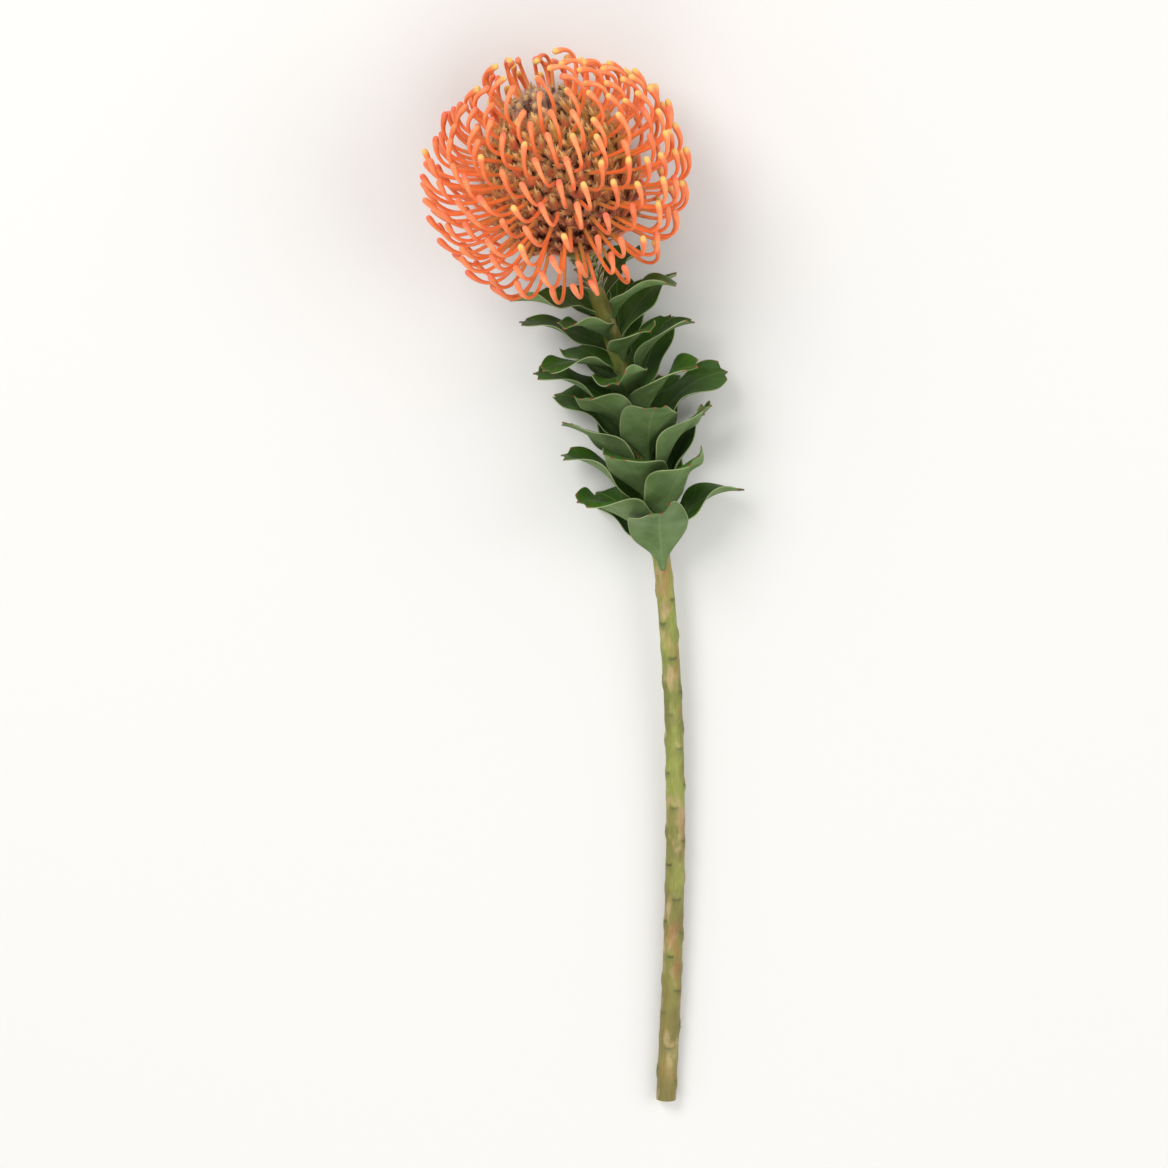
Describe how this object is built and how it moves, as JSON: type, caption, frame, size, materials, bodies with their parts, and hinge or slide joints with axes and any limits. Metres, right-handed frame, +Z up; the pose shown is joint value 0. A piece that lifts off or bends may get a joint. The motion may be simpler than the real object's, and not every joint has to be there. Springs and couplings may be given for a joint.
{
  "type": "pincushion protea",
  "caption": "Cut pincushion protea lying on its side: a round head of long hooked orange styles on a leafy stem that is bare and scarred towards the cut end.",
  "frame": {"origin": "on the surface that the flower lies on, under the middle of the box round the whole flower", "axes": "+Y along the flower from the cut end to the head, +Z up from the surface, +X to the right seen from above with the head away"},
  "size_m": [0.1782, 0.6006, 0.1356],
  "materials": {
    "bark": "matte",
    "styles": "satin",
    "floret_wool": "matte",
    "leaf_blade": "satin"
  },
  "bodies": {
    "root": {"stem": "bark", "flower_head": "styles", "leaf_01": "leaf_blade", "leaf_02": "leaf_blade", "leaf_03": "leaf_blade", "leaf_04": "leaf_blade", "leaf_05": "leaf_blade", "leaf_06": "leaf_blade", "leaf_07": "leaf_blade", "leaf_08": "leaf_blade", "leaf_09": "leaf_blade", "leaf_10": "leaf_blade", "leaf_11": "leaf_blade", "leaf_12": "leaf_blade", "leaf_13": "leaf_blade", "leaf_14": "leaf_blade", "leaf_15": "leaf_blade", "leaf_16": "leaf_blade", "leaf_17": "leaf_blade", "leaf_18": "leaf_blade", "leaf_19": "leaf_blade", "leaf_20": "leaf_blade", "leaf_21": "leaf_blade", "leaf_22": "leaf_blade", "leaf_23": "leaf_blade", "leaf_24": "leaf_blade", "leaf_25": "leaf_blade", "leaf_26": "leaf_blade", "leaf_27": "leaf_blade", "leaf_28": "leaf_blade", "leaf_29": "leaf_blade", "leaf_30": "leaf_blade", "leaf_31": "leaf_blade", "leaf_32": "leaf_blade", "leaf_33": "leaf_blade", "leaf_34": "leaf_blade"}
  },
  "joints": []
}
